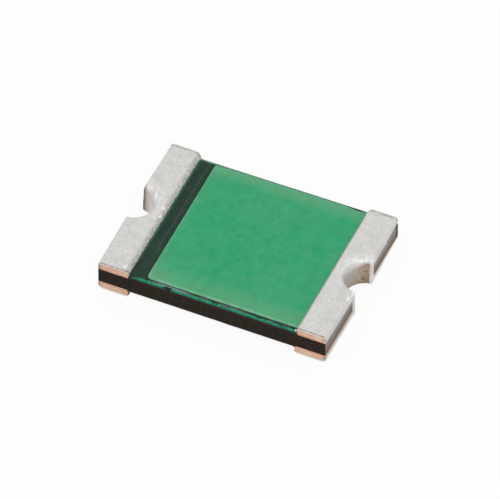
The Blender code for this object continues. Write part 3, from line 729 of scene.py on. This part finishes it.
    covered = add(tree, "MapRange", {"Value": inside, "From Min": -0.008, "From Max": 0.004})
    colour = dark
    for share, paint in (
            (covered, green), (chipped, broken), (hole, settings.foot), (wiped, settings.cut_face_dark)):
        colour = add(tree, "Mix", {"Factor": share, "A": colour, "B": paint}, data_type="RGBA")
    tree.links.new(colour, shader.inputs["Base Color"])
    gloss = add(tree, "MapRange", {
        "Value": mottle, "From Min": 0.3, "From Max": 0.7, "To Min": 0.40, "To Max": 0.30})
    tree.links.new(gloss, shader.inputs["Roughness"])
    shader.inputs["Specular IOR Level"].default_value = 0.2
    bump = add(tree, "Bump", {"Height": mottle, "Distance": 0.0015 * MM, "Strength": 0.6})
    tree.links.new(bump, shader.inputs["Normal"])
    return material


class FUSE_OT_coats(bpy.types.Operator):
    """Print the coats on both faces, stepped over the foils and chipped along the saw cuts"""
    bl_idname = "fuse_chip.coats"
    bl_label = "Solder Mask"

    def execute(self, context):
        sizes = context.scene.fuse_coat
        upper = Coat(sizes, UPPER_COAT, UPPER_FOIL, level=CORE[1].z, up=1, gap_side=-1)
        lower = Coat(sizes, LOWER_COAT, LOWER_FOIL, level=CORE[0].z, up=-1, gap_side=1)
        self.print_coat(upper, sizes, "upper", columns=320, rows=96)
        self.print_coat(lower, sizes, "lower", columns=160, rows=64)
        return {"FINISHED"}

    def print_coat(self, coat, sizes, name, columns, rows):
        """A grid whose rows crowd at the saw cuts, raised to the coat's height, and its base."""
        crowding = 2.2
        bm = bmesh.new()
        bmesh.ops.create_grid(bm, x_segments=columns, y_segments=rows, size=0.5)
        start, stop = coat.low.x - sizes.tuck, coat.high.x + sizes.tuck
        for vert in bm.verts:
            x = start + (stop - start) * (vert.co.x + 0.5)
            y = CORE[1].y * math.tanh(crowding * 2 * vert.co.y) / math.tanh(crowding)
            vert.co = (x, y, 0)
        inside, chipped, hole = [bm.verts.layers.float.new(mark) for mark in COAT_MARKS]
        thick = bmesh.ops.extrude_face_region(bm, geom=bm.faces[:])
        upper_side = {item for item in thick["geom"] if isinstance(item, bmesh.types.BMVert)}
        for vert in bm.verts:
            x, y = vert.co.x, vert.co.y
            height = coat.bottom(x, y)
            vert[inside] = coat.inside(x, y, coat.back_step(x)) / MM
            if vert in upper_side:
                whole = coat.top(x, y)
                lost = coat.rim(x, y, whole)
                height = whole - lost
                vert[chipped] = rise(0.0004 * MM, 0.002 * MM, lost)
                vert[hole] = vert[chipped] * coat.shade(x, y)
            vert.co.z = coat.level + coat.up * height
        bmesh.ops.recalc_face_normals(bm, faces=bm.faces)
        finished(
            name + "_coat", bm, coat_material(coat, sizes), "mask", name + "_solder_mask", sharp=60)


# Polymer filled with carbon black, pressed into a sheet and sawn: black-brown with a dull
# gloss on the sawn faces, and on the ends a painted grey sheen for the film of gloss that a smooth
# cut left
def polymer_material(body):
    material, tree, shader, place = new_material("carbon_filled_polyethylene")
    x, y, z = (add(tree, "SeparateXYZ", {"Vector": place}, out=axis) for axis in "XYZ")
    speck = add(tree, "TexNoise", {"Vector": place, "Scale": 1 / 0.06, "Detail": 4.0}, out="Fac")
    speck = add(tree, "MapRange", {"Value": speck, "From Min": 0.38, "From Max": 0.62})
    sawn = add(tree, "Mix", {
        "Factor": speck, "A": body.polymer, "B": body.polymer_brown}, data_type="RGBA")
    low, high = CORE[0].z / MM, CORE[1].z / MM
    head = add(tree, "MapRange", {
        "Value": z, "From Min": low + 0.10, "From Max": high - 0.02},
        interpolation_type="SMOOTHSTEP")
    foot = add(tree, "MapRange", {
        "Value": z, "From Min": low + 0.16, "From Max": low + 0.03},
        interpolation_type="SMOOTHSTEP")
    wipe = add(tree, "Mapping", {"Vector": place, "Scale": (1.0, 0.25, 2.0)})
    wipe = add(tree, "TexNoise", {"Vector": wipe, "Scale": 1 / 0.15, "Detail": 3.0}, out="Fac")
    wipe = add(tree, "MapRange", {
        "Value": wipe, "From Min": 0.38, "From Max": 0.66, "To Max": 0.75})
    corner = add(tree, "MapRange", {"Value": y, "From Min": SIDE - 0.10, "From Max": SIDE - 0.05})
    # The ends: painted sheen, grey and lightest toward the top, darker in the middle with streaks,
    # browner toward the foot and near the back
    end = body.end_dark
    for share, paint in (
            (head, body.end_grey), (foot, body.end_brown), (wipe, body.end_dark),
            (corner, body.polymer_brown)):
        end = add(tree, "Mix", {"Factor": share, "A": end, "B": paint}, data_type="RGBA")
    at_end = add(tree, "Math", {0: x}, operation="ABSOLUTE")
    at_end = add(tree, "MapRange", {
        "Value": at_end, "From Min": END - 0.004, "From Max": END - 0.001})
    colour = add(tree, "Mix", {"Factor": at_end, "A": sawn, "B": end}, data_type="RGBA")
    tree.links.new(colour, shader.inputs["Base Color"])
    shader.inputs["Roughness"].default_value = 0.55
    shader.inputs["Specular IOR Level"].default_value = 0.06
    lines = add(tree, "Mapping", {"Vector": place, "Scale": (0.12, 1.0, 1.0)})
    lines = add(tree, "TexNoise", {"Vector": lines, "Scale": 1 / 0.025, "Detail": 3.0}, out="Fac")
    bump = add(tree, "Bump", {"Height": lines, "Distance": 0.004 * MM, "Strength": 0.7})
    tree.links.new(bump, shader.inputs["Normal"])
    return material


# Electroplated copper, cut by a diamond saw: salmon pink, drawn out along the cut in fine
# lines, the burnished ones nearly white
def copper_material(name, colour, light, at_end):
    material, tree, shader, place = new_material(name)
    lines = add(tree, "Mapping", {"Vector": place, "Scale": (0.10, 1.0, 1.0)})
    lines = add(tree, "TexNoise", {"Vector": lines, "Scale": 1 / 0.02, "Detail": 3.0}, out="Fac")
    burnished = add(tree, "MapRange", {
        "Value": lines, "From Min": 0.44, "From Max": 0.68, "To Max": 0.9})
    beside = add(tree, "SeparateXYZ", {"Vector": place}, out="X")
    beside = add(tree, "Math", {0: beside}, operation="ABSOLUTE")
    beside = add(tree, "MapRange", {
        "Value": beside, "From Min": END - 0.003, "From Max": END - 0.001})
    behind = add(tree, "SeparateXYZ", {"Vector": place}, out="Y")
    behind = add(tree, "MapRange", {
        "Value": behind, "From Min": SIDE - 0.12, "From Max": SIDE - 0.02})
    pale = add(tree, "Math", {0: beside, 1: behind}, operation="MAXIMUM")
    for share, paint in ((burnished, light), (pale, at_end)):
        colour = add(tree, "Mix", {"Factor": share, "A": colour, "B": paint}, data_type="RGBA")
    tree.links.new(colour, shader.inputs["Base Color"])
    shader.inputs["Metallic"].default_value = 1.0
    shader.inputs["Roughness"].default_value = 0.5
    bump = add(tree, "Bump", {"Height": lines, "Distance": 0.003 * MM, "Strength": 0.7})
    tree.links.new(bump, shader.inputs["Normal"])
    return material


class FUSE_OT_body(bpy.types.Operator):
    """Give the sawn polymer, the foils and the plated copper their materials"""
    bl_idname = "fuse_chip.body"
    bl_label = "Polymer, Foils and Copper"

    def execute(self, context):
        body = context.scene.fuse_body
        paints = (body.copper_light, body.copper_end)
        foil = copper_material("sawn_electrode_foil", body.foil, *paints)
        copper = copper_material("sawn_plated_copper", body.copper, *paints)
        dressed = {"ptc_core": (polymer_material(body), "polymer")}
        for level in ("upper", "lower"):
            for kind in ("electrode", "land"):
                dressed[level + "_foil_" + kind] = (foil, "foil")
        for side in TERMINALS:
            dressed[side + "_terminal_copper"] = (copper, "copper")
        for name, (material, slot) in dressed.items():
            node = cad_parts[name]
            for holder in node.material_slots:
                holder.material = material
        return {"FINISHED"}


def seen_plainly(tree):
    """1 for the rays that carry the background: to the camera, off metal and through glass."""
    seen = add(tree, "LightPath", {}, out="Is Camera Ray")
    for ray in ("Is Glossy Ray", "Is Transmission Ray"):
        other = add(tree, "LightPath", {}, out=ray)
        seen = add(tree, "Math", {0: seen, 1: other}, operation="ADD", use_clamp=True)
    return seen


# Matt painted board: no gloss, so only the chip's soft shadow shows on it
def floor_material(stage):
    material, tree, shader, place = new_material("matt_white_board")
    fibre = add(tree, "TexNoise", {"Vector": place, "Scale": 1 / 0.4}, out="Fac")
    fibre = add(tree, "MapRange", {"Value": fibre, "To Min": 0.98, "To Max": 1.0})
    colour = add(tree, "Mix", {
        "Factor": 1.0, "A": stage.floor_colour, "B": fibre},
        data_type="RGBA", blend_type="MULTIPLY")
    tree.links.new(colour, shader.inputs["Base Color"])
    shader.inputs["Roughness"].default_value = 1.0
    shader.inputs["Specular IOR Level"].default_value = 0.0
    # The background is white; the little of the board that is left in it keeps the shadow
    white_share = 0.92
    white = add(tree, "Emission", {"Strength": 1.0})
    share = add(tree, "Math", {0: seen_plainly(tree), 1: white_share}, operation="MULTIPLY")
    both = add(tree, "MixShader", {0: share, 1: shader.outputs["BSDF"], 2: white})
    tree.links.new(both, tree.nodes["Material Output"].inputs["Surface"])
    return material


class FUSE_OT_stage(bpy.types.Operator):
    """Set the camera, the pale floor and the soft light"""
    bl_idname = "fuse_chip.stage"
    bl_label = "Stage"

    def execute(self, context):
        stage = context.scene.fuse_stage
        self.camera(context, stage)
        self.light(context, stage)
        bm = bmesh.new()
        bmesh.ops.create_grid(bm, x_segments=1, y_segments=1, size=stage.floor_reach)
        clear_of_pads = 0.002 * MM
        bmesh.ops.translate(bm, verts=bm.verts, vec=(0, 0, -clear_of_pads))
        mesh = bpy.data.meshes.new("floor")
        bm.to_mesh(mesh)
        bm.free()
        mesh.materials.append(floor_material(stage))
        floor = bpy.data.objects.new("floor", mesh)
        context.scene.collection.objects.link(floor)
        context.scene.view_settings.view_transform = "Standard"
        return {"FINISHED"}

    def camera(self, context, stage):
        back = Vector((
            math.sin(stage.turn) * math.cos(stage.height),
            -math.cos(stage.turn) * math.cos(stage.height),
            math.sin(stage.height)))
        lens = bpy.data.cameras.new("camera")
        lens.lens = lens.sensor_width * stage.distance / stage.frame_width
        lens.clip_start = 0.01
        lens.clip_end = 10
        camera = bpy.data.objects.new("camera", lens)
        camera.matrix_world = (
            Matrix.Translation(Vector(stage.aim) + back * stage.distance)
            @ Matrix.Rotation(stage.turn, 4, "Z")
            @ Matrix.Rotation(math.pi / 2 - stage.height, 4, "X")
            @ Matrix.Rotation(stage.roll, 4, "Z"))
        context.scene.collection.objects.link(camera)
        context.scene.camera = camera

    def light(self, context, stage):
        world = bpy.data.worlds.new("white_tent")
        context.scene.world = world
        world.use_nodes = True
        tree = world.node_tree
        strength = add(tree, "MapRange", {
            "Value": seen_plainly(tree), "To Min": stage.sky, "To Max": 1.0})
        background = tree.nodes["Background"]
        tree.links.new(strength, background.inputs["Strength"])
        background.inputs["Color"].default_value = (1, 1, 1, 1)
        key = bpy.data.lights.new("key", "AREA")
        key.shape = "DISK"
        key.size = stage.key_size
        key.energy = stage.key_power
        lamp = bpy.data.objects.new("key", key)
        lamp.location = stage.key_place
        lamp.rotation_euler = (-lamp.location).to_track_quat("-Z", "Y").to_euler()
        context.scene.collection.objects.link(lamp)


class FUSE_PT_panel(bpy.types.Panel):
    """Lists the steps that dress the chip, and their settings"""
    bl_idname = "FUSE_PT_panel"
    bl_label = "Fuse Chip"
    bl_space_type = "VIEW_3D"
    bl_region_type = "UI"
    bl_category = "Fuse Chip"

    def draw(self, context):
        for name, group, operator in STEPS:
            box = self.layout.box()
            box.operator(operator.bl_idname)
            settings = getattr(context.scene, name)
            for key in settings.bl_rna.properties.keys():
                if key not in ("rna_type", "name"):
                    box.prop(settings, key)


STEPS = (
    ("fuse_stage", FuseStageSettings, FUSE_OT_stage),
    ("fuse_body", FuseBodySettings, FUSE_OT_body),
    ("fuse_coat", FuseCoatSettings, FUSE_OT_coats),
    ("fuse_tin", FuseTinSettings, FUSE_OT_tin),
)
CLASSES = (*(cls for name, *classes in STEPS for cls in classes), FUSE_PT_panel)


def register():
    for cls in CLASSES:
        bpy.utils.register_class(cls)
    for name, group, operator in STEPS:
        setattr(bpy.types.Scene, name, bpy.props.PointerProperty(type=group))


def unregister():
    for name, *classes in STEPS:
        delattr(bpy.types.Scene, name)
    for cls in reversed(CLASSES):
        bpy.utils.unregister_class(cls)


def main():
    register()
    bpy.ops.fuse_chip.stage()
    bpy.ops.fuse_chip.body()
    bpy.ops.fuse_chip.coats()
    bpy.ops.fuse_chip.tin()


if __name__ == "__main__":
    main()
